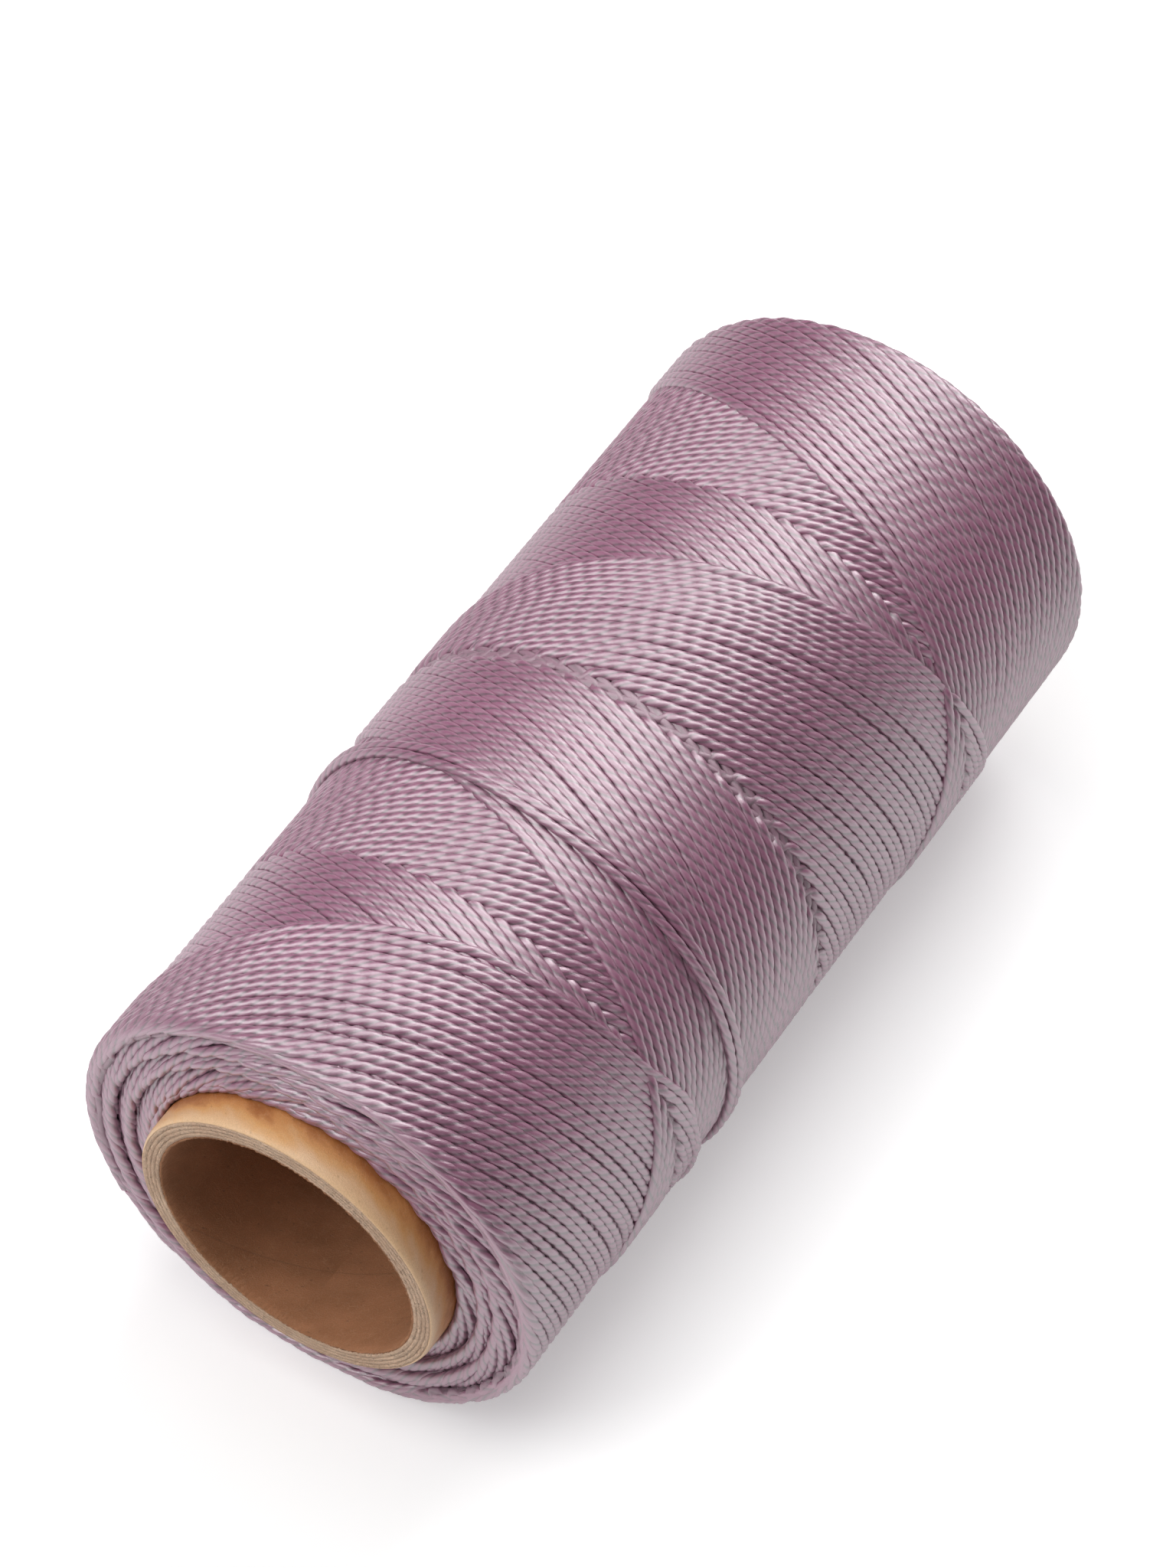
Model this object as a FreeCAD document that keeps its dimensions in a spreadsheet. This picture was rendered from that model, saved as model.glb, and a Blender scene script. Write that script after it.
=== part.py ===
import FreeCAD, Part
import math
import os

import Sketcher
from FreeCAD import Placement, Rotation, Vector

# A spool of waxed thread, lying on its side: a paper tube wound in a spiral from strips,
# and one long thread laid up and down it in strokes that cross.
# The tube's axis runs along X and Z points up. The spool rests on Z = 0, and the origin is
# on the floor under its middle.
doc = FreeCAD.newDocument("thread_spool")

# Driving dimensions, in millimetres
DIMENSIONS = (
    ("tube_length", 122.0, "paper tube, end to end"),
    ("bore_diameter", 30.6, "clear hole through the tube"),
    ("liner_thickness", 0.3, "kraft liner, the wall of the bore"),
    ("board_thickness", 0.5, "one ply of board"),
    ("wrap_thickness", 0.4, "kraft strip round the outside"),
    ("rim_bevel", 0.6, "bevel burnished on the outside of both rims"),
    ("grip_gap", 0.05, "between the tube and the innermost layer of thread"),
    ("winding_length", 113.6, "thread on the tube, face to face"),
    ("winding_diameter", 54.0, "over the outer turns"),
    ("shoulder_bevel", 1.5, "bevel where the layers fall away at both faces"),
    ("thread_diameter", 1.0, "waxed thread, across the corners of its section"),
    ("crossing_gap", 0.45, "between the threads of an up and a down stroke"),
    ("bedding_gap", 0.12, "between the lower turns and the layers under them"),
    ("turning_margin", 0.4, "from a face of the winding to the turns that reverse there"),
    ("resting_flat", 0.1, "depth of the flat that the outer turns lie on"),
)
BOARD_PLIES = 4
DOUBLE_STROKES = 3
TURNS_PER_STROKE = 2
THREAD_SIDES = 5

sheet = doc.addObject("Spreadsheet::Sheet", "Sizes")
for row, (alias, value, note) in enumerate(DIMENSIONS, start=1):
    sheet.set("A%d" % row, alias)
    sheet.set("B%d" % row, str(value))
    sheet.set("C%d" % row, note)
    sheet.setAlias("B%d" % row, alias)
doc.recompute()


def size(alias):
    return float(getattr(sheet, alias))


# Radii, outwards from the bore ply by ply, and inwards from the outside of the winding
BORE_RADIUS = "Sizes.bore_diameter / 2"
BOARD_RADIUS = BORE_RADIUS + " + Sizes.liner_thickness"
WRAP_RADIUS = BOARD_RADIUS + " + %d * Sizes.board_thickness" % BOARD_PLIES
TUBE_RADIUS = WRAP_RADIUS + " + Sizes.wrap_thickness"
UPPER_TURNS = "Sizes.winding_diameter / 2 - Sizes.thread_diameter / 2"
LOWER_TURNS = UPPER_TURNS + " - Sizes.thread_diameter - Sizes.crossing_gap"
CORE_RADIUS = LOWER_TURNS + " - Sizes.thread_diameter / 2 - Sizes.bedding_gap"
CORE_BORE = TUBE_RADIUS + " + Sizes.grip_gap"
AXIS_HEIGHT = "Sizes.winding_diameter / 2 - Sizes.resting_flat"

thread_radius = size("thread_diameter") / 2
upper_turns = size("winding_diameter") / 2 - thread_radius
lower_turns = upper_turns - size("thread_diameter") - size("crossing_gap")
axis_height = size("winding_diameter") / 2 - size("resting_flat")

pieces = []


def new_sketch(body, name, plane):
    """A sketch on one of the body's own origin planes."""
    sketch = body.newObject("Sketcher::SketchObject", name)
    origin_plane = next(item for item in body.Origin.OriginFeatures if item.Role == plane)
    sketch.AttachmentSupport = [(origin_plane, "")]
    sketch.MapMode = "FlatFace"
    return sketch


def ring_body(name, radii, length):
    """A body whose pad is the area between circles of these radii, along X and centred."""
    body = doc.addObject("PartDesign::Body", name)
    outline = new_sketch(body, name + "Outline", "YZ_Plane")
    for index, (part, radius) in enumerate(radii.items()):
        outline.addGeometry(Part.Circle(Vector(0, 0, 0), Vector(0, 0, 1), 10.0 + index), False)
        outline.addConstraint(Sketcher.Constraint("Coincident", index, 3, -1, 1))
        held = outline.addConstraint(Sketcher.Constraint("Radius", index, 10.0 + index))
        outline.renameConstraint(held, part)
        outline.setExpression("Constraints." + part, radius)
    pad = body.newObject("PartDesign::Pad", name + "Length")
    pad.Profile = outline
    pad.SideType = "Symmetric"
    pad.setExpression("Length", length)
    doc.recompute()
    return body, pad


def bevel_outside(body, pad, name, width):
    """A bevel on the widest round edge of both ends."""
    rounds = [edge.Curve.Radius for edge in pad.Shape.Edges if isinstance(edge.Curve, Part.Circle)]
    edges = [
        "Edge%d" % number
        for number, edge in enumerate(pad.Shape.Edges, start=1)
        if isinstance(edge.Curve, Part.Circle) and math.isclose(edge.Curve.Radius, max(rounds))
    ]
    bevel = body.newObject("PartDesign::Chamfer", name)
    bevel.Base = (pad, edges)
    bevel.setExpression("Size", width)
    doc.recompute()


def ply(name, label, inner, outer):
    """One ply: what a round wall between two radii shares with the bevelled tube."""
    walls = []
    for part, radius in (("Outside", outer), ("Inside", inner)):
        wall = doc.addObject("Part::Cylinder", name + part)
        wall.setExpression("Radius", radius)
        wall.setExpression("Height", "Sizes.tube_length")
        wall.Placement = Placement(Vector(0, 0, 0), Rotation(Vector(0, 1, 0), 90))
        wall.setExpression(".Placement.Base.x", "-Sizes.tube_length / 2")
        walls.append(wall)
    wall = doc.addObject("Part::Cut", name + "Wall")
    wall.Base, wall.Tool = walls
    piece = doc.addObject("Part::Common", name)
    piece.Base, piece.Tool = tube_blank, wall
    piece.Label = label
    keep(piece)


def keep(piece):
    """Set a finished piece at its height above the floor, and count it as one of the parts."""
    piece.setExpression(".Placement.Base.z", AXIS_HEIGHT)
    pieces.append(piece)


def on_round(radius, angle, station):
    """A point at an angle round the X axis, from the top towards -Y, and a distance along it."""
    return Vector(station, -radius * math.sin(angle), radius * math.cos(angle))


def way_round(radius, angle, advance):
    """The direction of a line that winds round X and advances so much in one radian."""
    way = Vector(advance, -radius * math.cos(angle), -radius * math.sin(angle))
    return way.normalize()


def arc_between(start, corner, end):
    """The arc that leaves start towards corner and reaches end from corner."""
    middle = (start + end) * 0.5
    bend = Vector(corner - start).getAngle(end - corner)
    height = (end - start).Length / 2 * math.tan(bend / 4)
    return Part.Arc(start, middle + Vector(corner - middle).normalize() * height, end).toShape()


def biarc(start, start_way, end, end_way):
    """Two arcs that join two points, and leave and reach them in the ways given."""
    across = end - start
    square = 2 * (start_way.dot(end_way) - 1)
    linear = -2 * across.dot(start_way + end_way)
    root = math.sqrt(linear**2 - 4 * square * across.dot(across))
    reach = (-linear - root) / (2 * square)
    first, second = start + start_way * reach, end - end_way * reach
    meeting = (first + second) * 0.5
    return [arc_between(start, first, meeting), arc_between(meeting, second, end)]


def path_through(knots):
    """Edges through points that each come with a direction."""
    edges = []
    for (start, start_way), (end, end_way) in zip(knots, knots[1:]):
        edges += biarc(start, start_way, end, end_way)
    return edges


def pipe(edges, start, way, outline):
    """A solid of one section, carried along joined edges from their first point."""
    radial = Vector(0, start.y, start.z).normalize()
    side = way.cross(radial).normalize()
    outward = side.cross(way)
    corners = [start + outward * high + side * wide for high, wide in outline]
    tube = Part.BRepOffsetAPI.MakePipeShell(Part.Wire(edges))
    tube.add(Part.makePolygon(corners + corners[:1]))
    tube.build()
    tube.makeSolid()
    return tube.shape()


# Paper tube: six strips of paper, glued in a spiral one on the other.
# Its rims are burnished after it is cut, so the outer plies end on one common bevel.
tube_blank, tube_bar = ring_body("TubeBlank", {"outside": TUBE_RADIUS}, "Sizes.tube_length")
bevel_outside(tube_blank, tube_bar, "BurnishedRims", "Sizes.rim_bevel")

ply("InnerLiner", "tube_inner_liner", BORE_RADIUS, BOARD_RADIUS)
for number in range(1, BOARD_PLIES + 1):
    inner = BOARD_RADIUS + " + %d * Sizes.board_thickness" % (number - 1)
    outer = BOARD_RADIUS + " + %d * Sizes.board_thickness" % number
    ply("BoardPly%d" % number, "tube_board_ply_%d" % number, inner, outer)
ply("OuterWrap", "tube_outer_wrap", WRAP_RADIUS, TUBE_RADIUS)

# Inner layers of thread: everything under the outer layer, gripping the tube.
core_radii = {"outside": CORE_RADIUS, "hole": CORE_BORE}
inner_layers, layers_bar = ring_body("InnerLayers", core_radii, "Sizes.winding_length")
bevel_outside(inner_layers, layers_bar, "Shoulders", "Sizes.shoulder_bevel")
inner_layers.Label = "thread_inner_layers"
keep(inner_layers)

# Outer turns: one unbroken thread, laid away from the near face and back.
# It keeps turning the same way round. The strokes away lie under the strokes back, and each
# pair of strokes starts a part of a turn later, so that the pairs spread evenly.
# The thread reverses and changes level in a quarter turn at each face of the winding.
QUARTER = math.pi / 2
stroke_angle = 2 * math.pi * (TURNS_PER_STROKE + 0.5 / DOUBLE_STROKES) - QUARTER
stroke_steps = math.ceil(stroke_angle / QUARTER)
turning_reach = size("winding_length") / 2 - size("turning_margin") - thread_radius
advance = 2 * turning_reach / (stroke_angle + QUARTER / 2)
half_stroke = advance * stroke_angle / 2

knots = []
angle = 0.0
for stroke in range(2 * DOUBLE_STROKES):
    heading = 1 if stroke % 2 == 0 else -1
    level = lower_turns if heading > 0 else upper_turns
    for step in range(stroke_steps + 1):
        turned = angle + stroke_angle * step / stroke_steps
        station = heading * (-half_stroke + advance * (turned - angle))
        knots.append((on_round(level, turned, station), way_round(level, turned, heading * advance)))
    angle += stroke_angle + QUARTER

start, start_way = knots[0]
end, end_way = knots[-1]
tail = size("thread_diameter")
path = [Part.makeLine(start - start_way * tail, start)]
path += path_through(knots)
path.append(Part.makeLine(end, end + end_way * tail))

corners = [math.pi * (2 * side + 1) / THREAD_SIDES for side in range(THREAD_SIDES)]
section = [(thread_radius * math.cos(corner), thread_radius * math.sin(corner)) for corner in corners]
thread = pipe(path, start - start_way * tail, start_way, section)
floor_length = size("winding_length")
floor_width = size("winding_diameter")
floor_corner = Vector(-floor_length / 2, -floor_width / 2, -axis_height - floor_width)
floor = Part.makeBox(floor_length, floor_width, floor_width, floor_corner)
outer_turns = doc.addObject("Part::Feature", "OuterTurns")
outer_turns.Shape = thread.cut(floor).Solids[0]
outer_turns.Label = "thread_outer_turns"
keep(outer_turns)


def least_distance(points, nearby):
    """The least distance between points that are further apart than nearby along their line."""
    spacing = (points[1] - points[0]).Length
    apart = int(nearby / spacing)
    cells = {}
    for index, point in enumerate(points):
        cells.setdefault(tuple(int(math.floor(c / nearby)) for c in point), []).append(index)
    least = math.inf
    for (x, y, z), members in cells.items():
        around = [
            index
            for dx in (-1, 0, 1)
            for dy in (-1, 0, 1)
            for dz in (-1, 0, 1)
            for index in cells.get((x + dx, y + dy, z + dz), ())
        ]
        for one in members:
            for other in around:
                if other - one > apart:
                    least = min(least, (points[one] - points[other]).Length)
    return least


POINT_SPACING = 0.4
route = Part.Wire(path)
points = route.discretize(Distance=POINT_SPACING)
turns = (angle - QUARTER) / (2 * math.pi)
gap = least_distance(points, 3 * size("thread_diameter")) - size("thread_diameter")
lowest = min(math.hypot(point.y, point.z) for point in points)
core_radius = lower_turns - thread_radius - size("bedding_gap")
reach = max(abs(point.x) for point in points) + thread_radius
section_area = THREAD_SIDES / 2 * thread_radius**2 * math.sin(2 * math.pi / THREAD_SIDES)
print("outer turns: %.2f turns, %.0f mm of thread" % (turns, route.Length))
print("their least gap to themselves %.3f mm" % gap)
print("their least gap to the inner layers %.3f mm" % (lowest - thread_radius - core_radius))
print("they reach %.2f mm from the middle" % reach)
print("volume over section times length %.5f" % (thread.Volume / (route.Length * section_area)))

doc.recompute()
for item in doc.Objects:
    if "Invalid" in item.State or "Error" in item.State:
        raise RuntimeError("%s failed: %s" % (item.Name, item.State))
os.makedirs("parts", exist_ok=True)
for piece in pieces:
    shape = piece.Shape
    if shape.isNull() or not shape.isValid() or len(shape.Solids) != 1:
        raise RuntimeError("%s is not one valid solid" % piece.Label)
    shape.exportStep(os.path.join("parts", piece.Label + ".step"))
    print("%-22s %10.1f mm3" % (piece.Label, shape.Volume))
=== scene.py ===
# A spool of waxed thread on a spiral-wound paper tube. The scene is in metres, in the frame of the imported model:
# +X runs along the bore, and the winding rests on z = 0. Sizes are written in millimetres.
import bpy
import numpy as np
from mathutils import Matrix, Vector


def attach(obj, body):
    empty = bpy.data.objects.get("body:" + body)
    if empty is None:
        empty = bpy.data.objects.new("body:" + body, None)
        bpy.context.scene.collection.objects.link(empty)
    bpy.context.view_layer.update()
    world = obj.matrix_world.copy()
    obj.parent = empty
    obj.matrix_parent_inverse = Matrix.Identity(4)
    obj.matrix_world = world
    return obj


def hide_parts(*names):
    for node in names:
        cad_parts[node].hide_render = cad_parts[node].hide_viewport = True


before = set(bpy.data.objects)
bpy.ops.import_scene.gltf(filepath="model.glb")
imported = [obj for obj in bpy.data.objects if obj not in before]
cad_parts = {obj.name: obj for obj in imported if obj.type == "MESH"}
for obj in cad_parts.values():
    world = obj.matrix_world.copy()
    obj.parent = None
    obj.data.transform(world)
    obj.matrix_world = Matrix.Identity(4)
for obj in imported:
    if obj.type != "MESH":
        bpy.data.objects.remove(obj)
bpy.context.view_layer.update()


# ---------------------------------------------------------------- liner and board plies of the tube
# Five paper strips, glued on each other round a mandrel: a thin brown kraft liner and four grey-beige
# board plies. The saw that cut the tube to length left their edges slightly uneven and fuzzy.
MM = 0.001
AXIS_Z = 26.9           # height of the tube's axis over the table
TUBE_END = 61.0         # half of the tube's length
WALLS = (15.3, 15.6, 16.1, 16.6, 17.1, 17.6)      # radii between the liner and the four plies
POINTS_ROUND = 540
ALL_ROUND = np.arange(POINTS_ROUND) / POINTS_ROUND * 360


def round_the_axis(along, radius, angle):
    """Points in metres from a place along the axis, a radius and an angle from the top towards -Y."""
    turned = np.radians(angle)
    return np.stack([along, -radius * np.sin(turned), AXIS_Z + radius * np.cos(turned)], -1) * MM


def slow_noise(count, waves, seed):
    """A closed, smooth random line round the tube, between about -1 and 1."""
    draw = np.random.default_rng(seed)
    turn = np.arange(count) / count * 2 * np.pi
    line = np.zeros(count)
    for wave in waves:
        line += draw.normal() * np.cos(wave * turn) + draw.normal() * np.sin(wave * turn)
    return line / (1.5 * np.sqrt(len(waves)))


def wrapped_mesh(name, rows):
    """A closed ring from rows of points: each row runs round the tube, and the last row meets the first."""
    rows = np.asarray(rows)
    levels, around = rows.shape[:2]
    level, place = np.meshgrid(np.arange(levels), np.arange(around), indexing="ij")
    above, beside = (level + 1) % levels * around, (place + 1) % around
    level = level * around
    faces = np.stack([level + place, above + place, above + beside, level + beside], -1).reshape(-1, 4)
    mesh = bpy.data.meshes.new(name)
    mesh.from_pydata(rows.reshape(-1, 3).tolist(), [], faces.tolist())
    mesh.shade_smooth()
    piece = bpy.data.objects.new(name, mesh)
    bpy.context.collection.objects.link(piece)
    return piece


def paper_strip(name, inner, outer, seed, fray=0.07):
    """One strip of the wall as a ring, with the two sawn edges a little ragged."""
    middle = (inner + outer) / 2
    sound = TUBE_END - 1.2
    rows = []
    for place, radius, depth, edge in (
            (-TUBE_END, inner, 1.0, 1), (-TUBE_END, middle, 0.3, 2), (-TUBE_END, outer, 0.7, 3),
            (-sound, outer, 0, 0), (0.0, outer, 0, 0), (sound, outer, 0, 0),
            (TUBE_END, outer, 0.7, 4), (TUBE_END, middle, 0.3, 5), (TUBE_END, inner, 1.0, 6),
            (sound, inner, 0, 0), (0.0, inner, 0, 0), (-sound, inner, 0, 0)):
        along = np.full(POINTS_ROUND, place)
        if edge:
            ragged = np.abs(slow_noise(POINTS_ROUND, range(19, 260, 6), seed * 10 + edge)) * depth * fray
            along = along - np.sign(place) * ragged
        rows.append(round_the_axis(along, np.full(POINTS_ROUND, radius), ALL_ROUND))
    return wrapped_mesh(name, rows)


liner = paper_strip("liner", WALLS[0], WALLS[1], 3, fray=0.30)
plies = [paper_strip("board_ply_%d" % (number + 1), WALLS[number + 1], WALLS[number + 2], 11 + number)
         for number in range(4)]


def new_finish(name, roughness):
    """A new material; the node helpers below add to the tree of the newest one."""
    global nodes, wires
    finish = bpy.data.materials.new(name)
    finish.use_nodes = True
    nodes, wires = finish.node_tree.nodes, finish.node_tree.links
    nodes["Principled BSDF"].inputs["Roughness"].default_value = roughness
    return finish, nodes["Principled BSDF"]


def place_node(kind, **settings):
    """A node of a kind in the newest tree."""
    node = nodes.new(kind)
    for key, value in settings.items():
        setattr(node, key, value)
    return node


def maths(operation, *values):
    """A Math node: numbers are set on its sockets, and anything else is wired to them."""
    node = place_node("ShaderNodeMath", operation=operation)
    for slot, value in enumerate(values):
        if isinstance(value, (int, float)):
            node.inputs[slot].default_value = value
        else:
            wires.new(value, node.inputs[slot])
    return node.outputs[0]


def noise(vector, scale, detail, rough):
    """Cloudy noise on some coordinates."""
    node = place_node("ShaderNodeTexNoise")
    wires.new(vector, node.inputs["Vector"])
    node.inputs["Scale"].default_value = scale
    node.inputs["Detail"].default_value = detail
    node.inputs["Roughness"].default_value = rough
    return node.outputs["Fac"]


def blended(amount, under, over):
    """Two colours mixed by an amount; each may be a colour or a wire."""
    node = place_node("ShaderNodeMix", data_type="RGBA")
    for slot, value in ((0, amount), (6, under), (7, over)):
        if isinstance(value, (int, float, tuple)):
            node.inputs[slot].default_value = value
        else:
            wires.new(value, node.inputs[slot])
    return node.outputs[2]


def washed(amount, share, under, over):
    """A colour laid over another where an amount is high, and nowhere thicker than its share."""
    return blended(maths("MULTIPLY", amount, share), under, over)


def spread(value, low, high):
    """A value stretched so that low becomes 0 and high becomes 1."""
    node = place_node("ShaderNodeMapRange", clamp=True)
    wires.new(value, node.inputs["Value"])
    node.inputs["From Min"].default_value = low
    node.inputs["From Max"].default_value = high
    return node.outputs["Result"]


# what all the papers share: clouds, matted fibres, flecks, grain and the seam, on the helix that the strips follow
paper_fibres = bpy.data.node_groups.new("paper fibres", "ShaderNodeTree")
for name, value in (("Radius", 18.0), ("Lead", 44.0), ("Seam at", 0.0), ("Matting", 1.0)):
    paper_fibres.interface.new_socket(name, in_out="INPUT", socket_type="NodeSocketFloat").default_value = value
for name in ("Cloud", "Fibres", "Flecks", "Seam", "Grain"):
    paper_fibres.interface.new_socket(name, in_out="OUTPUT", socket_type="NodeSocketFloat")
nodes, wires = paper_fibres.nodes, paper_fibres.links
given = place_node("NodeGroupInput")
where = place_node("ShaderNodeTexCoord")
apart = place_node("ShaderNodeSeparateXYZ")
wires.new(where.outputs["Object"], apart.inputs[0])
along = maths("MULTIPLY", apart.outputs["X"], 1000.0)
side = maths("MULTIPLY", apart.outputs["Y"], -1000.0)
up = maths("MULTIPLY_ADD", apart.outputs["Z"], 1000.0, -AXIS_Z)
turned = maths("ARCTAN2", side, up)
arc = maths("MULTIPLY", turned, given.outputs["Radius"])
across = maths("ADD", along, maths("MULTIPLY", turned, maths("DIVIDE", given.outputs["Lead"], 2 * np.pi)))
depth = maths("SQRT", maths("ADD", maths("MULTIPLY", side, side), maths("MULTIPLY", up, up)))
sheet = place_node("ShaderNodeCombineXYZ")
wires.new(across, sheet.inputs["X"])
wires.new(arc, sheet.inputs["Y"])
wires.new(depth, sheet.inputs["Z"])


def squeezed(vector, by, turn=0.0):
    """Coordinates stretched and turned, so that noise on them becomes fibres."""
    node = place_node("ShaderNodeMapping")
    wires.new(vector, node.inputs["Vector"])
    node.inputs["Scale"].default_value = by
    node.inputs["Rotation"].default_value = (0, 0, turn)
    return node.outputs[0]


def hairs(scale, turn, width):
    """Thin curled lines, where a drawn-out noise passes its middle value."""
    turned_sheet = squeezed(sheet.outputs[0], (1, 1, 1), turn)
    level = noise(squeezed(turned_sheet, (1, 0.35, 1)), scale, 2.0, 0.5)
    return spread(maths("ABSOLUTE", maths("SUBTRACT", level, 0.5)), width, 0.0)


cloud = noise(squeezed(sheet.outputs[0], (1, 0.5, 1)), 0.35, 4.0, 0.55)
matted = maths("ADD", hairs(1.1, 0.5, 0.022), maths("ADD", hairs(1.4, -0.7, 0.02), hairs(1.7, 1.4, 0.02)))
matted = maths("MULTIPLY", maths("MULTIPLY", matted, 0.5), given.outputs["Matting"])
flecks = spread(noise(squeezed(sheet.outputs[0], (1, 0.6, 1)), 2.6, 1.0, 0.5), 0.70, 0.78)
grain = noise(sheet.outputs[0], 7.0, 3.0, 0.7)
lead = given.outputs["Lead"]
off_seam = maths("SUBTRACT", across, given.outputs["Seam at"])
off_seam = maths("SUBTRACT", off_seam, maths("MULTIPLY", lead, maths("ROUND", maths("DIVIDE", off_seam, lead))))
seam = spread(maths("ABSOLUTE", off_seam), 0.14, 0.03)
result = place_node("NodeGroupOutput")
for name, value in (("Cloud", cloud), ("Fibres", matted), ("Flecks", flecks), ("Seam", seam), ("Grain", grain)):
    wires.new(value, result.inputs[name])


def paper(radius, seam_at, matting):
    """The paper group, placed in the newest material."""
    node = place_node("ShaderNodeGroup")
    node.node_tree = paper_fibres
    node.inputs["Radius"].default_value = radius
    node.inputs["Seam at"].default_value = seam_at
    node.inputs["Matting"].default_value = matting
    return node.outputs


def bumped(height, depth_mm, shader, strength=1.0):
    """The surface raised a little where a value is high."""
    node = place_node("ShaderNodeBump")
    node.inputs["Strength"].default_value = strength
    node.inputs["Distance"].default_value = depth_mm * MM
    wires.new(height, node.inputs["Height"])
    wires.new(node.outputs[0], shader.inputs["Normal"])


liner_kraft, shader = new_finish("brown kraft liner", 0.82)
look = paper(WALLS[0], -31.0, 1.0)
tone = blended(spread(look["Cloud"], 0.3, 0.7), (.35, .150, .065, 1), (.47, .205, .095, 1))
tone = washed(look["Fibres"], 0.30, tone, (.62, .36, .20, 1))
tone = washed(look["Flecks"], 0.5, tone, (.13, .065, .035, 1))
tone = blended(spread(look["Grain"], 0.35, 0.65), blended(0.25, tone, (.10, .05, .03, 1)), tone)
tone = washed(look["Seam"], 0.25, tone, (.10, .055, .03, 1))
wires.new(tone, shader.inputs["Base Color"])
bumped(maths("ADD", look["Grain"], maths("MULTIPLY", look["Fibres"], 0.5)), 0.05, shader)
liner.data.materials.append(liner_kraft)
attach(liner, "root")
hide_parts("tube_inner_liner")

board, shader = new_finish("sawn grey board", 0.9)
look = paper(16.8, 0.0, 1.0)
tone = blended(spread(look["Cloud"], 0.3, 0.7), (.74, .49, .335, 1), (.88, .62, .44, 1))
tone = washed(look["Fibres"], 0.35, tone, (.90, .74, .58, 1))
tone = washed(look["Flecks"], 0.6, tone, (.22, .14, .10, 1))
tone = blended(spread(look["Grain"], 0.35, 0.62), blended(0.35, tone, (.30, .19, .13, 1)), tone)
wires.new(tone, shader.inputs["Base Color"])
bumped(maths("ADD", look["Grain"], look["Fibres"]), 0.12, shader)
for number, ply in enumerate(plies):
    ply.data.materials.append(board)
    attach(ply, "root")
    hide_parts("tube_board_ply_%d" % (number + 1))


# ---------------------------------------------------------------- outer wrap of the tube
# The last strip is a golden kraft, burnished smooth. Its edges meet in one spiral butt seam, and at both
# ends it is rolled over the sharp edge of the board.
WRAP_INNER, WRAP_OUTER = 17.6, 18.0
turn_over = [(0.03, 0.39), (0.06, 0.30), (0.14, 0.215), (0.27, 0.14), (0.46, 0.07), (0.72, 0.02), (1.05, 0.0)]
near_rim = [(-TUBE_END + inwards, WRAP_OUTER - down) for inwards, down in turn_over]
far_rim = [(TUBE_END - inwards, WRAP_OUTER - down) for inwards, down in reversed(turn_over)]
outline = near_rim + [(x, WRAP_OUTER) for x in (-59.0, -57.5, -56, 0, 56, 57.5, 59)] + far_rim
outline += [(TUBE_END - 0.8, WRAP_INNER), (0.0, WRAP_INNER), (-TUBE_END + 0.8, WRAP_INNER)]


def turned_ring(name, outline):
    """A ring turned round the axis from its outline, a list of places along it and radii."""
    flat = np.ones(POINTS_ROUND)
    return wrapped_mesh(name, [round_the_axis(place * flat, radius * flat, ALL_ROUND) for place, radius in outline])


wrap = turned_ring("outer_wrap", outline)
wrap_kraft, shader = new_finish("burnished golden kraft", 0.5)
look = paper(WRAP_OUTER, -45.2, 0.8)
where = place_node("ShaderNodeTexCoord")
apart = place_node("ShaderNodeSeparateXYZ")
wires.new(where.outputs["Object"], apart.inputs[0])
from_end = maths("SUBTRACT", TUBE_END * MM, maths("ABSOLUTE", apart.outputs["X"]))
uneven = maths("MULTIPLY_ADD", maths("SUBTRACT", look["Cloud"], 0.5), 0.006, from_end)
tone = blended(spread(look["Cloud"], 0.32, 0.68), (.66, .31, .105, 1), (.82, .45, .18, 1))
# rubbed pale at the rim, with a painted highlight laid into that pale band; stained by the wax close to the thread,
# and darkest beside it, partly wax stain and partly painted shade from the winding
# painted highlight: the pale rim band, partly rubbed wear and partly the sheen of the burnished kraft
tone = washed(spread(uneven, 0.0022, 0.0004), 0.7, tone, (.90, .64, .40, 1))
tone = washed(spread(uneven, 0.0020, 0.0038), 0.8, tone, (.52, .155, .030, 1))
# painted shade: the darkest band right beside the winding, partly wax stain and partly the shadow the winding casts
tone = washed(spread(uneven, 0.0026, 0.0042), 0.5, tone, (.14, .035, .008, 1))
tone = washed(look["Fibres"], 0.16, tone, (.90, .64, .38, 1))
tone = washed(look["Flecks"], 0.30, tone, (.30, .12, .04, 1))
tone = washed(spread(look["Grain"], 0.62, 0.38), 0.18, tone, (.22, .10, .04, 1))
tone = washed(look["Seam"], 0.55, tone, (.20, .085, .03, 1))
wires.new(tone, shader.inputs["Base Color"])
wires.new(maths("MULTIPLY_ADD", look["Cloud"], 0.3, 0.24), shader.inputs["Roughness"])
relief = maths("MULTIPLY_ADD", look["Fibres"], 0.4, maths("MULTIPLY", look["Grain"], 0.5))
bumped(maths("SUBTRACT", relief, look["Seam"]), 0.04, shader)
wrap.data.materials.append(wrap_kraft)
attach(wrap, "root")
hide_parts("tube_outer_wrap")


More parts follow.
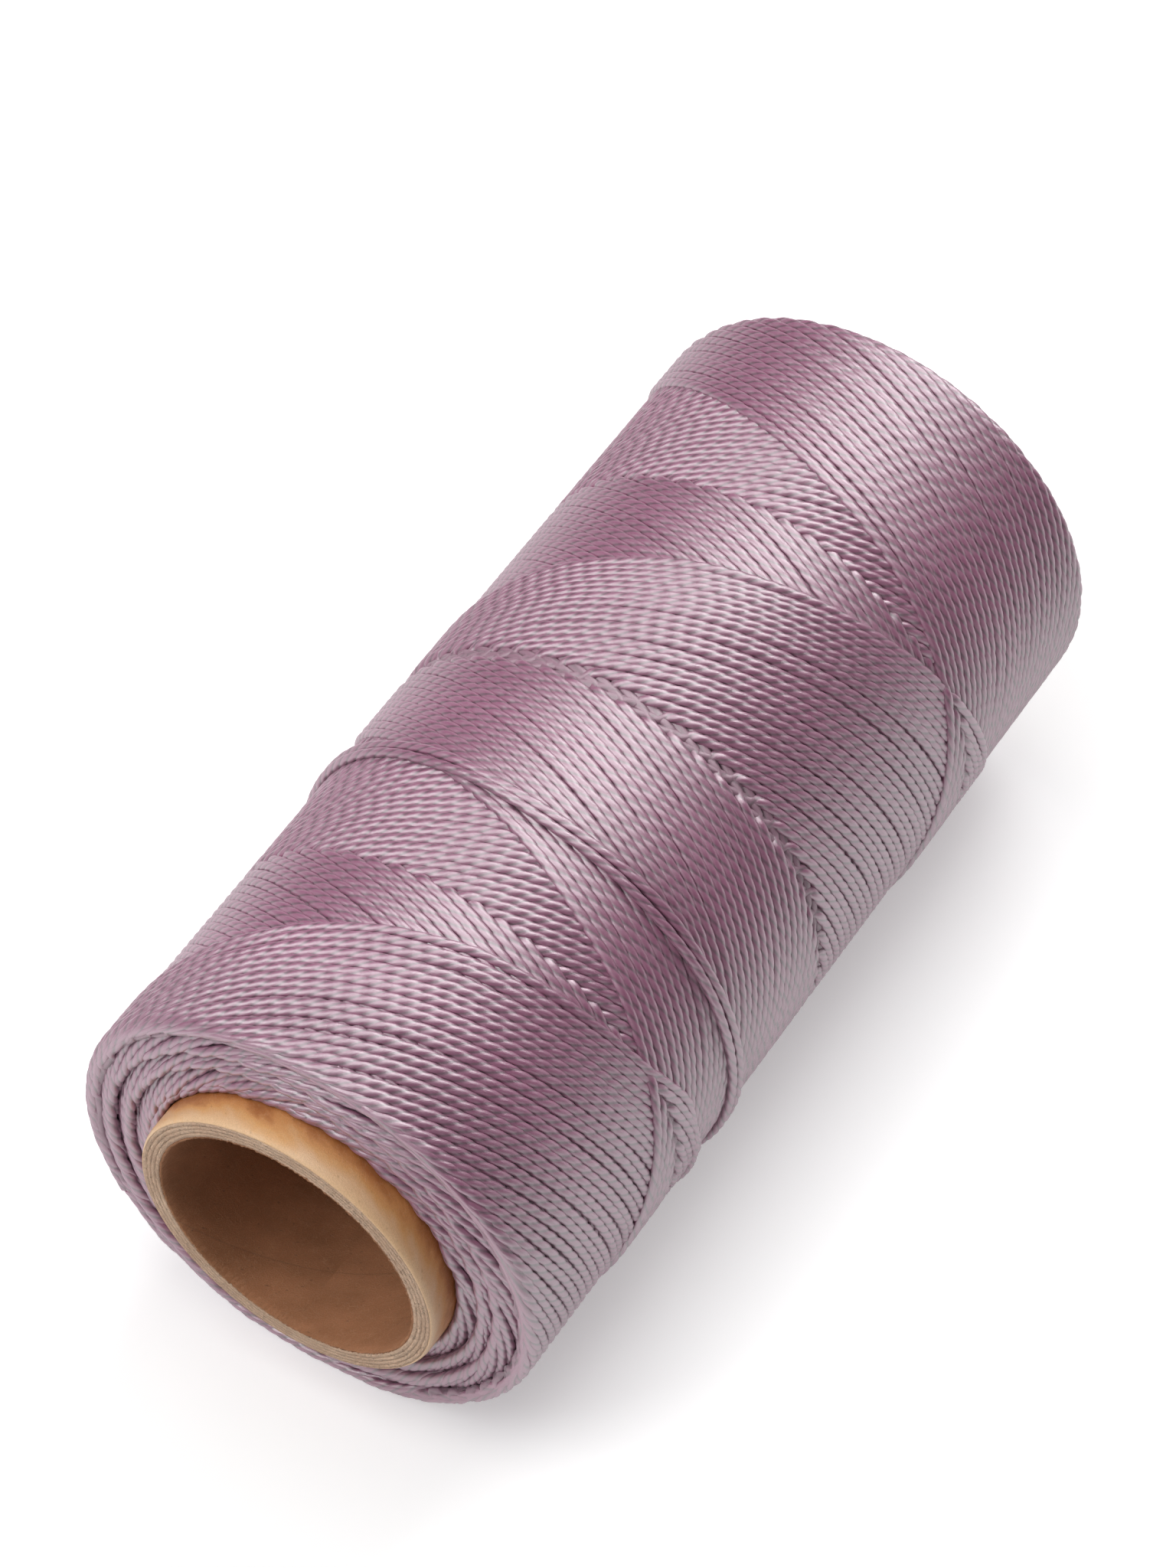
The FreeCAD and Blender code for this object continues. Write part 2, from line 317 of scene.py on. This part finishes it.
# ---------------------------------------------------------------- inner layers of the winding
# Everything under the last layer: some 110 m of the same thread, pressed into one firm body by the tension
# of the layers over it.
outline = [(-54.6, 18.03), (-54.6, 20.0), (-54.6, 22.8), (-54.2, 23.8), (-53.6, 24.5), (-52.0, 25.1), (0, 25.1),
           (52.0, 25.1), (53.6, 24.5), (54.2, 23.8), (54.6, 22.8), (54.6, 20.0), (54.6, 18.03), (0, 18.03)]
core = turned_ring("inner_layers", outline)
shaded_pressed_thread, shader = new_finish("pressed thread in painted shade", 0.7)
where = place_node("ShaderNodeTexCoord")
ridges = noise(squeezed(where.outputs["Object"], (1, 0.1, 0.1)), 900.0, 2.0, 0.5)
# painted shade: the body is coloured darker than the thread itself so the gaps between the outer strands read dark,
# darkest in the grooves between its ridges
wires.new(blended(ridges, (.05, .02, .035, 1), (.20, .09, .14, 1)), shader.inputs["Base Color"])
bumped(ridges, 0.2, shader)
core.data.materials.append(shaded_pressed_thread)
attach(core, "root")
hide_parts("thread_inner_layers")


# ---------------------------------------------------------------- outer layer of turns
# One waxed polyester thread of three twisted plies, laid up and down the tube in strokes of about two turns.
# Each stroke lies beside the one before it, a little further round, so the two slopes cross in rings. Tension
# alone holds it.
NEAR_TURN, FAR_TURN = -56.35, 56.75      # where a stroke turns back at either face
CROWN = 27.48                            # radius of the newest stroke's axis
LAYER = 0.44                             # what one pass of thread adds to the radius
SLOPE = 59.6 / 360                       # advance along the winding for each degree round it
STROKE = 716.6                           # degrees from one turning point to the next
STEP_BACK = 6.75                         # degrees that each turning point lies behind the one before
CYCLE = 360 / STEP_BACK                  # double strokes in one layer
DOUBLE_STROKES = 54                      # as many as show
FIRST_TURN = 242.0                       # where the newest stroke starts at the near face
PITCH = STEP_BACK * SLOPE                # distance between neighbours, along the winding
NEAR_CUT, FAR_CUT = 23, 14               # degrees of a stroke that its rounded turning points take up
SHOULDER = 0.9                           # rounding of the edge between winding and face
TAIL_START = FIRST_TURN + 198            # where the tail leaves the newest stroke
draw = np.random.default_rng(7)


def eased(value):
    """A smooth rise from 0 to 1."""
    value = np.clip(value, 0, 1)
    return value * value * (3 - 2 * value)


def wander(turn, size, draw):
    """A slow, smooth stray of the thread to either side of its line."""
    stray = np.zeros(len(turn))
    for length in (35, 60, 110, 230):
        height = draw.normal()
        phase = np.radians(turn * 360 / length / draw.uniform(0.8, 1.25))
        stray += height * np.sin(phase + draw.uniform(0, 6.28))
    return stray * size / 2


def smoothed(values, window):
    """A line of values averaged under a sliding window."""
    half = len(window) // 2
    return np.convolve(np.pad(values, half, "edge"), window / window.sum(), "valid")


def crowded(turn, number, angles, shifts, decay):
    """The newest strokes slid along the winding a little: their shift, by the angle round it."""
    return np.interp((turn + 100) % 360 - 100, angles, shifts) * np.exp(-number / decay)


# the strokes don't lie evenly: the last eight crowd together, and pairs part from each other by a dark gap
STROKES_SPACED = 60
even = np.arange(STROKES_SPACED) * PITCH
gaps = np.full(STROKES_SPACED, PITCH)
gaps[1:9] = 0.95
gaps[9:34] = PITCH + 0.058
gaps[9:24] += np.where(np.arange(15) % 2 == 0, 0.13, -0.13) * draw.uniform(0.2, 1.2, 15)
rising_slip = even - np.cumsum(gaps) + gaps[0]
gaps = PITCH + draw.normal(0, 0.045, STROKES_SPACED)
falling_slip = even - np.cumsum(gaps) + gaps[0]
falling_slip -= np.linspace(0, falling_slip[-1], STROKES_SPACED)


def ages(turn, along):
    """How old the rising and the falling strokes are at a place on the winding, from 0 to 1 layer."""
    run = (along - NEAR_TURN) / SLOPE + NEAR_CUT
    return ((turn - run - FIRST_TURN) / 360) % 1, ((turn + run - FIRST_TURN) / 360) % 1


def stroke(number, rising, near_round, far_round):
    """One stroke: place and radius of its axis, its angles, and how far it lies over the strokes that it crosses."""
    off = np.arange(0, STROKE, 0.7)
    near_off = off if rising else STROKE - off
    far_off = STROKE - near_off
    sign = 1 if rising else -1
    turn = FIRST_TURN + STEP_BACK * number + sign * near_off
    own = number / CYCLE
    other = ((STEP_BACK * number + sign * 2 * near_off) / 360) % 1
    # strokes of one age change places where they cross, within 0.8 of a pitch and in a shallow groove
    over = eased((CYCLE * (other - own) * sign + 0.9) / 0.8)
    top = over if rising else 1 - over
    depth = LAYER * (own + other + 1 - top) + 0.5 * top * (1 - top)
    if rising and number == 0:
        depth = smoothed(depth, np.hanning(45))
    # at its turning point the thread rounds the shoulder and runs a little down the face
    near_half = near_off < far_off
    run = np.where(near_half, SLOPE * (np.cbrt(near_off ** 3 + near_round ** 3) - NEAR_CUT) - SHOULDER,
                   SLOPE * (np.cbrt(far_off ** 3 + far_round ** 3) - FAR_CUT) - SHOULDER)
    bend = np.clip(-run / SHOULDER, 0, np.pi / 2)
    below = np.clip(-run - SHOULDER * np.pi / 2, 0, None)
    inset = np.where(run > 0, SHOULDER + run, SHOULDER * (1 - np.sin(bend)) + 0.45 * depth * (1 - np.cos(bend)))
    radius = CROWN - depth - np.where(run > 0, 0, SHOULDER * (1 - np.cos(bend)) + below)
    lean = 0.6 * (1 - np.cos(np.radians(turn - 30))) * (1 - eased(near_off / 70))
    along = np.where(near_half, NEAR_TURN + inset - lean, FAR_TURN - inset)
    if rising:
        slid = crowded(turn, number, (-100, -60, -30, -22, -12, -3, 15, 30, 42, 55, 62, 75, 100),
                       (0, 0.9, 1.62, 2.16, 2.34, 2.7, 2.7, 1.62, 0.9, 0.18, 0, 0.54, 0), 7)
        along = along + slid * eased((near_off - 15) / 30) * (1 - eased((near_off - 210) / 40))
        along = along + rising_slip[number] * eased((near_off - 10) / 60) * eased((far_off - 10) / 60)
    else:
        slid = crowded(turn, number, (-100, -60, -30, 10, 30, 60, 100), (0, -0.9, -1.62, -1.62, -0.72, 0, 0), 6)
        along = along + slid * eased((far_off - 10) / 30) * (1 - eased((far_off - 250) / 40))
        along = along - falling_slip[number] * eased((near_off - 10) / 60) * eased((far_off - 10) / 60)
    along = along + wander(turn, 0.09, draw) * eased(np.minimum(near_off, far_off) / 40)
    return [along, radius, turn, top]


def joined(*parts):
    """Stretches of one line, put end to end."""
    return [np.concatenate(values) for values in zip(*parts)]


paths = []
far_round = draw.uniform(9, 12)
for number in reversed(range(DOUBLE_STROKES)):
    near_round = draw.uniform(18.5, 21.5)
    falling = stroke(number, False, near_round, far_round)
    far_round = draw.uniform(9, 12)
    rising = stroke(number, True, near_round, far_round)
    if number:
        paths.append(joined(falling, rising))
    else:
        paths.append(falling)
        keep = rising[2] < TAIL_START
        last_stroke = [values[keep] for values in rising]

# the last stroke runs on as the tail, round the winding and over everything, to where it is tucked under
tail_turns = [440, 470, 500, 540, 600, 640, 660, 675, 690, 700, 720, 770, 820, 860, 900, 960, 1020, 1035, 1050, 1060,
              1080, 1130, 1180, 1240]
tail_from_end = [34.29, 36.0, 37.26, 39.6, 43.2, 45.0, 45.36, 45.0, 44.1, 43.56, 42.3, 41.94, 41.58, 41.76, 42.84,
                 45.0, 46.53, 46.17, 45.27, 44.73, 43.38, 43.11, 42.75, 43.02]
turn = np.arange(TAIL_START, 1240, 0.7)
along = smoothed(np.interp(turn, tail_turns, tail_from_end), np.hanning(61)) - TUBE_END
rising_age, falling_age = ages(turn, along)
height = smoothed(CROWN - LAYER * (rising_age + falling_age), np.ones(25)) + 0.85
height = last_stroke[1][-1] + (height - last_stroke[1][-1]) * eased((turn - TAIL_START) / 60)
height -= 1.2 * eased((turn - 1215) / 25)
along += (last_stroke[0][-1] - along[0]) * (1 - eased((turn - TAIL_START) / 50))
along += wander(turn, 0.06, draw) * eased((turn - TAIL_START) / 40)
tail = joined(last_stroke[:3], [along, height, turn])
tail.append(np.ones(len(tail[0])))


def set_down(points):
    """The few strands under the spool flatten where its weight rests on them."""
    low = points[:, 2] / MM
    points[:, 2] = np.where(low < 3, 0.5 + (low + 0.95) * (2.5 / 3.95), low) * MM
    return points


LAY = 5.65              # length of thread in which a ply goes once round


def thread_line(name, parts, nesting=()):
    """The thread's axis as loose edges. Nesting turns the plies of each part into those of its neighbour."""
    stretches, edges, first = [], [], 0
    for index, (along, radius, turn, top) in enumerate(parts):
        place = set_down(round_the_axis(along, radius, turn))
        gap = np.linalg.norm(np.diff(place, axis=0), axis=1) / MM
        seen = np.convolve(top[:-1] > 0.1, np.ones(13), "same") > 0
        length, spin, ticks = [np.concatenate([[0], np.cumsum(steps)])
                               for steps in (gap * MM, np.where(seen, gap, 0), gap / np.where(seen, 0.56, 2.4))]
        spin *= -2 * np.pi / LAY
        if len(nesting):
            spin += nesting[index] * (0.5 + 0.29 * eased((turn - turn[0] - STROKE + 20) / 40))
        want = np.linspace(0, ticks[-1], int(ticks[-1]) + 1)
        x, y, z, *rest = [np.interp(want, ticks, values) for values in (*place.T, spin, length, 1 - top)]
        stretches.append([x, y, z, np.hypot(y, z - AXIS_Z * MM), *rest])
        starts = np.arange(first, first + len(want) - 1)
        edges.append(np.stack([starts, starts + 1], -1))
        first += len(want)
    x, y, z, height, spin, length, sunk = joined(*stretches)
    mesh = bpy.data.meshes.new(name)
    mesh.from_pydata(np.stack([x, y, z], -1).tolist(), np.concatenate(edges).tolist(), [])
    for kind, values in (("twist", spin), ("length_m", length), ("height_m", height), ("sunk", sunk)):
        mesh.attributes.new(kind, "FLOAT", "POINT").data.foreach_set("value", values.astype(np.float32))
    line = bpy.data.objects.new(name, mesh)
    bpy.context.collection.objects.link(line)
    return line


thread, shader = new_finish("waxed plum thread", 0.45)
for socket, value in (("IOR", 2.2), ("Specular IOR Level", 1.0), ("Coat Weight", 0.15), ("Coat IOR", 1.6),
                      ("Coat Roughness", 0.35), ("Sheen Weight", 0.2), ("Sheen Roughness", 0.5)):
    shader.inputs[socket].default_value = value


def carried(name, output="Fac"):
    """A value that the thread's mesh carries."""
    return place_node("ShaderNodeAttribute", attribute_name=name).outputs[output]


# the filaments run nearly along the thread: noise drawn out along its length, round the strand
drawn = place_node("ShaderNodeCombineXYZ")
wires.new(maths("MULTIPLY", carried("length_m"), 420.0), drawn.inputs["Z"])
lined = place_node("ShaderNodeVectorMath", operation="ADD")
wires.new(carried("spoke", "Vector"), lined.inputs[0])
wires.new(drawn.outputs[0], lined.inputs[1])
filaments = noise(lined.outputs[0], 7.0, 2.0, 0.6)
slow = place_node("ShaderNodeCombineXYZ")
wires.new(carried("length_m"), slow.inputs["X"])
dye = noise(slow.outputs[0], 28.0, 3.0, 0.6)
bloom = noise(place_node("ShaderNodeTexCoord").outputs["Object"], 900.0, 4.0, 0.65)

PLY_CREASE_SHADE = (.07, .018, .04, 1)
plum = blended(spread(dye, 0.3, 0.7), (.26, .056, .142, 1), (.34, .082, .192, 1))
plum = washed(spread(bloom, 0.50, 0.75), 0.12, plum, (.62, .48, .55, 1))
# painted shade: the valleys between the plies are painted dark where shade falls in them
plum = washed(spread(carried("valley"), 0.1, 0.9), 0.85, plum, PLY_CREASE_SHADE)
# where it dips under the strokes that cross it, it lies in their shade and its shine is gone
shade = spread(carried("sunk"), 0.15, 0.75)
plum = washed(shade, 0.6, plum, (.14, .024, .07, 1))
wires.new(plum, shader.inputs["Base Color"])
dull = maths("MULTIPLY_ADD", bloom, 0.16, 0.35)
wires.new(maths("MULTIPLY_ADD", shade, 0.2, dull), shader.inputs["Roughness"])
bumped(filaments, 0.06, shader, 0.5)

# the tree that twists three plies round a line and presses the outer side of the strand a little flat
PLIES = 3
PROFILE_POINTS = 12
twist_plies = bpy.data.node_groups.new("twist three plies", "GeometryNodeTree")
twist_plies.interface.new_socket("Line", in_out="INPUT", socket_type="NodeSocketGeometry")
thick = twist_plies.interface.new_socket("Thread diameter", in_out="INPUT", socket_type="NodeSocketFloat")
pressed = twist_plies.interface.new_socket("Pressed flat", in_out="INPUT", socket_type="NodeSocketFloat")
twist_plies.interface.new_socket("Thread", in_out="OUTPUT", socket_type="NodeSocketGeometry")
nodes, wires = twist_plies.nodes, twist_plies.links
source = place_node("NodeGroupInput")


def measured(name):
    """A value that the line's points carry."""
    node = place_node("GeometryNodeInputNamedAttribute", data_type="FLOAT")
    node.inputs["Name"].default_value = name
    return node.outputs["Attribute"]


def marked(geometry, name, data_type, value):
    """The geometry with a value written on its points."""
    node = place_node("GeometryNodeStoreNamedAttribute", data_type=data_type, domain="POINT")
    node.inputs["Name"].default_value = name
    wires.new(geometry, node.inputs["Geometry"])
    wires.new(value, node.inputs["Value"])
    return node.outputs[0]


def moved(geometry, position):
    """The geometry with its points put elsewhere."""
    node = place_node("GeometryNodeSetPosition")
    wires.new(geometry, node.inputs["Geometry"])
    wires.new(position, node.inputs["Position"])
    return node.outputs[0]


to_curve = place_node("GeometryNodeMeshToCurve")
wires.new(source.outputs["Line"], to_curve.inputs[0])
tilt = place_node("GeometryNodeSetCurveTilt")
wires.new(to_curve.outputs[0], tilt.inputs["Curve"])
wires.new(measured("twist"), tilt.inputs["Tilt"])

# the profile: a circle drawn in to three shallow valleys between the plies
ring = place_node("GeometryNodeCurvePrimitiveCircle", mode="RADIUS")
ring.inputs["Resolution"].default_value = PROFILE_POINTS
wires.new(source.outputs["Thread diameter"], ring.inputs["Radius"])
spot = place_node("GeometryNodeInputIndex")
valley = maths("COSINE", maths("MULTIPLY", spot.outputs[0], 2 * np.pi / PROFILE_POINTS * PLIES))
lobes = maths("MULTIPLY_ADD", valley, maths("MULTIPLY_ADD", valley, -0.028, -0.040), 0.488)
position = place_node("GeometryNodeInputPosition")
lobed = place_node("ShaderNodeVectorMath", operation="SCALE")
wires.new(position.outputs[0], lobed.inputs[0])
wires.new(lobes, lobed.inputs["Scale"])
spoke = place_node("ShaderNodeVectorMath", operation="NORMALIZE")
wires.new(position.outputs[0], spoke.inputs[0])
profile = marked(moved(ring.outputs[0], lobed.outputs[0]), "valley", "FLOAT", valley)
profile = marked(profile, "spoke", "FLOAT_VECTOR", spoke.outputs[0])
sweep = place_node("GeometryNodeCurveToMesh")
wires.new(tilt.outputs[0], sweep.inputs["Curve"])
wires.new(profile, sweep.inputs["Profile Curve"])
sweep.inputs["Fill Caps"].default_value = True

# points farther out than the thread's axis come back towards the tube by the share that is pressed
corner = place_node("ShaderNodeSeparateXYZ")
wires.new(place_node("GeometryNodeInputPosition").outputs[0], corner.inputs[0])
up = maths("SUBTRACT", corner.outputs["Z"], AXIS_Z * MM)
side = corner.outputs["Y"]
out_from = maths("SQRT", maths("MULTIPLY_ADD", up, up, maths("MULTIPLY", side, side)))
raised = maths("MAXIMUM", maths("SUBTRACT", out_from, measured("height_m")), 0.0)
shrunk = maths("SUBTRACT", 1.0, maths("DIVIDE", maths("MULTIPLY", raised, source.outputs["Pressed flat"]), out_from))
flat = place_node("ShaderNodeCombineXYZ")
wires.new(corner.outputs["X"], flat.inputs["X"])
wires.new(maths("MULTIPLY", side, shrunk), flat.inputs["Y"])
wires.new(maths("MULTIPLY_ADD", up, shrunk, AXIS_Z * MM), flat.inputs["Z"])
smooth = place_node("GeometryNodeSetShadeSmooth")
wires.new(moved(sweep.outputs[0], flat.outputs[0]), smooth.inputs[0])
real = place_node("GeometryNodeRealizeInstances")
wires.new(smooth.outputs[0], real.inputs[0])
finish = place_node("GeometryNodeSetMaterial")
finish.inputs["Material"].default_value = thread
wires.new(real.outputs[0], finish.inputs["Geometry"])
wires.new(finish.outputs[0], place_node("NodeGroupOutput").inputs[0])


def twisted(line, diameter, flat):
    """The plies twisted round a line, as a plain mesh."""
    modifier = line.modifiers.new("plies", "NODES")
    modifier.node_group = twist_plies
    modifier[thick.identifier] = diameter * MM
    modifier[pressed.identifier] = flat
    ready = line.evaluated_get(bpy.context.evaluated_depsgraph_get())
    mesh = bpy.data.meshes.new_from_object(ready)
    line.modifiers.clear()
    line.data = mesh
    return line


# a few double strokes to a mesh, from the oldest to the newest
TO_A_MESH = 5
outer_turns = []
for start in range(0, DOUBLE_STROKES, TO_A_MESH):
    numbers = DOUBLE_STROKES - 1 - np.arange(start, min(start + TO_A_MESH, DOUBLE_STROKES))
    nesting = 2 * np.pi / PLIES * numbers + draw.uniform(-1, 1, len(numbers))
    line = thread_line("outer_turns_%d" % (len(outer_turns) + 1), paths[start:start + TO_A_MESH], nesting)
    outer_turns.append(twisted(line, 1.25, 0.14))
for strand in outer_turns:
    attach(strand, "root")
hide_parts("thread_outer_turns")


# ---------------------------------------------------------------- tail of the thread
# The end of the same thread. It was run once more round the finished winding, over all the strokes, and its tip
# is tucked under them, so that it holds by friction alone.
tail_end = twisted(thread_line("tail", [tail]), 1.12, 0.1)
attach(tail_end, "root")


# ---------------------------------------------------------------- lower layers at the two faces
# Under the outer layer the older ones come out at both faces as steps of the same thread. Each of their strands
# comes up to the edge of its layer, turns there, and climbs away under the layer over it.
# The edges step down in one long spiral: the angle followed along it, and the radius there.
edge_turns = [0, 53, 118, 150, 233, 300, 360, 413, 478, 500, 530, 595, 640, 720, 773, 838, 860, 890, 950, 1000, 1080,
              1133, 1200, 1440, 1560]
edge_radii = [26.4, 26.1, 25.8, 25.5, 25.2, 24.7, 24.1, 23.4, 23.0, 22.3, 22.2, 22.5, 22.4, 21.7, 21.15, 21.0, 20.4,
              20.6, 20.6, 20.0, 19.0, 18.6, 18.2, 18.1, 18.05]
EDGE_START = -118       # angle from the top at which the spiral of the edges starts
NEXT_STRAND = 9.4       # degrees from one strand of a face to the next


def face_turns(name, face, seed):
    """The turning strands of one face."""
    draw = np.random.default_rng(seed)
    side = np.sign(face)
    parts = []
    for start in np.arange(279.6, 1560, NEXT_STRAND):
        start = start + draw.uniform(-1.3, 1.3)
        off = np.arange(-14.0, 37.0, 1.0)
        turn = start + off
        edge = np.interp(turn, edge_turns, edge_radii)
        roof = np.interp(turn - 360, edge_turns, edge_radii)
        climb = np.clip(off / 31, 0, 1.3)
        radius = edge + 0.5 + (roof - edge) * climb + draw.uniform(-0.1, 0.1)
        inset = 1.7 * climb ** 1.3 + 1.3 * np.clip(-off / 14, 0, 1) ** 2
        place = face - side * inset + side * draw.uniform(0, 0.25)
        if side < 0:
            place = place - 0.6 * (1 - np.cos(np.radians(turn + EDGE_START - 30)))
        parts.append([place, radius, turn + EDGE_START, np.ones(len(turn))])
    return twisted(thread_line(name, parts), 1.2, 0.0)


for strands in (face_turns("near_face_turns", NEAR_TURN, 3), face_turns("far_face_turns", FAR_TURN, 5)):
    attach(strands, "root")


# ---------------------------------------------------------------- table, light and camera
# A white sweep under soft, broad light from above and from behind on the left, seen from the photograph's
# viewpoint.
floor_mesh = bpy.data.meshes.new("floor")
floor_mesh.from_pydata([(-3, -3, 0), (3, -3, 0), (3, 3, 0), (-3, 3, 0)], [], [(0, 1, 2, 3)])
floor = bpy.data.objects.new("floor", floor_mesh)
bpy.context.collection.objects.link(floor)
white = bpy.data.materials.new("white sweep")
white.use_nodes = True
nodes, wires = white.node_tree.nodes, white.node_tree.links
nodes.clear()
matt = place_node("ShaderNodeBsdfDiffuse")
matt.inputs["Color"].default_value = (.8, .8, .8, 1)
# brighter to the camera, the more so far away; close to the spool the floor also glows in the thread's sheen, a
# painted reflection
seen_by = place_node("ShaderNodeLightPath").outputs
where = place_node("ShaderNodeTexCoord")
apart = place_node("ShaderNodeSeparateXYZ")
wires.new(where.outputs["Object"], apart.inputs[0])
close = spread(maths("ABSOLUTE", apart.outputs["Y"]), 0.16, 0.06)
# painted reflection: a glow that only glossy rays see, close to the spool
reflected_glow = maths("MULTIPLY", maths("MULTIPLY", close, seen_by["Is Glossy Ray"]), 0.34)
glow = place_node("ShaderNodeEmission")
away = place_node("ShaderNodeVectorMath", operation="LENGTH")
wires.new(where.outputs["Object"], away.inputs[0])
lit = maths("MULTIPLY_ADD", spread(away.outputs["Value"], 0.3, 1.4), 0.62, 0.38)
wires.new(maths("MULTIPLY_ADD", seen_by["Is Camera Ray"], lit, reflected_glow), glow.inputs["Strength"])
both = place_node("ShaderNodeAddShader")
wires.new(matt.outputs[0], both.inputs[0])
wires.new(glow.outputs[0], both.inputs[1])
wires.new(both.outputs[0], place_node("ShaderNodeOutputMaterial").inputs["Surface"])
floor.data.materials.append(white)

world = bpy.data.worlds.new("studio")
bpy.context.scene.world = world
world.use_nodes = True
nodes, wires = world.node_tree.nodes, world.node_tree.links
nodes["Background"].inputs["Color"].default_value = (1, 1, 1, 1)
seen_by = place_node("ShaderNodeLightPath").outputs
wires.new(maths("MULTIPLY_ADD", seen_by["Is Camera Ray"], 0.98, 0.02), nodes["Background"].inputs["Strength"])


SPOOL_MIDDLE = Vector((0, 0, 0.03))


def soft_box(name, toward, watts):
    """A square soft light a metre from the spool, in the given direction."""
    box = bpy.data.lights.new(name, "AREA")
    box.shape = "SQUARE"
    box.size = 0.7
    box.energy = watts
    lamp = bpy.data.objects.new(name, box)
    lamp.location = SPOOL_MIDDLE + Vector(toward).normalized() * 1.07
    lamp.rotation_euler = (SPOOL_MIDDLE - lamp.location).to_track_quat("-Z", "Y").to_euler()
    bpy.context.collection.objects.link(lamp)


soft_box("soft box overhead", (-0.02, 0.08, 1), 4.4)
soft_box("soft box over the far end", (0.7, 0, 0.7), 7.4)
soft_box("soft box over the near end", (-0.7, 0, 0.7), 1.8)
soft_box("soft box behind on the left", (-0.5, 0.5, 0.7), 5.4)

camera_data = bpy.data.cameras.new("photographer")
camera_data.lens = 114.26
camera_data.sensor_width = 36
camera = bpy.data.objects.new("photographer", camera_data)
right = Vector((0.534497, -0.845171, 0.0))
down = Vector((-0.664558, -0.420275, -0.617844))
ahead = Vector((0.522184, 0.330236, -0.786300))
camera.matrix_world = Matrix.Translation(Vector((-276.813, -172.838, 452.613)) * MM) @ Matrix(
    (right, -down, -ahead)).transposed().to_4x4()
bpy.context.collection.objects.link(camera)
bpy.context.scene.camera = camera
camera_data.clip_start = 0.01
bpy.context.scene.view_settings.view_transform = "Standard"
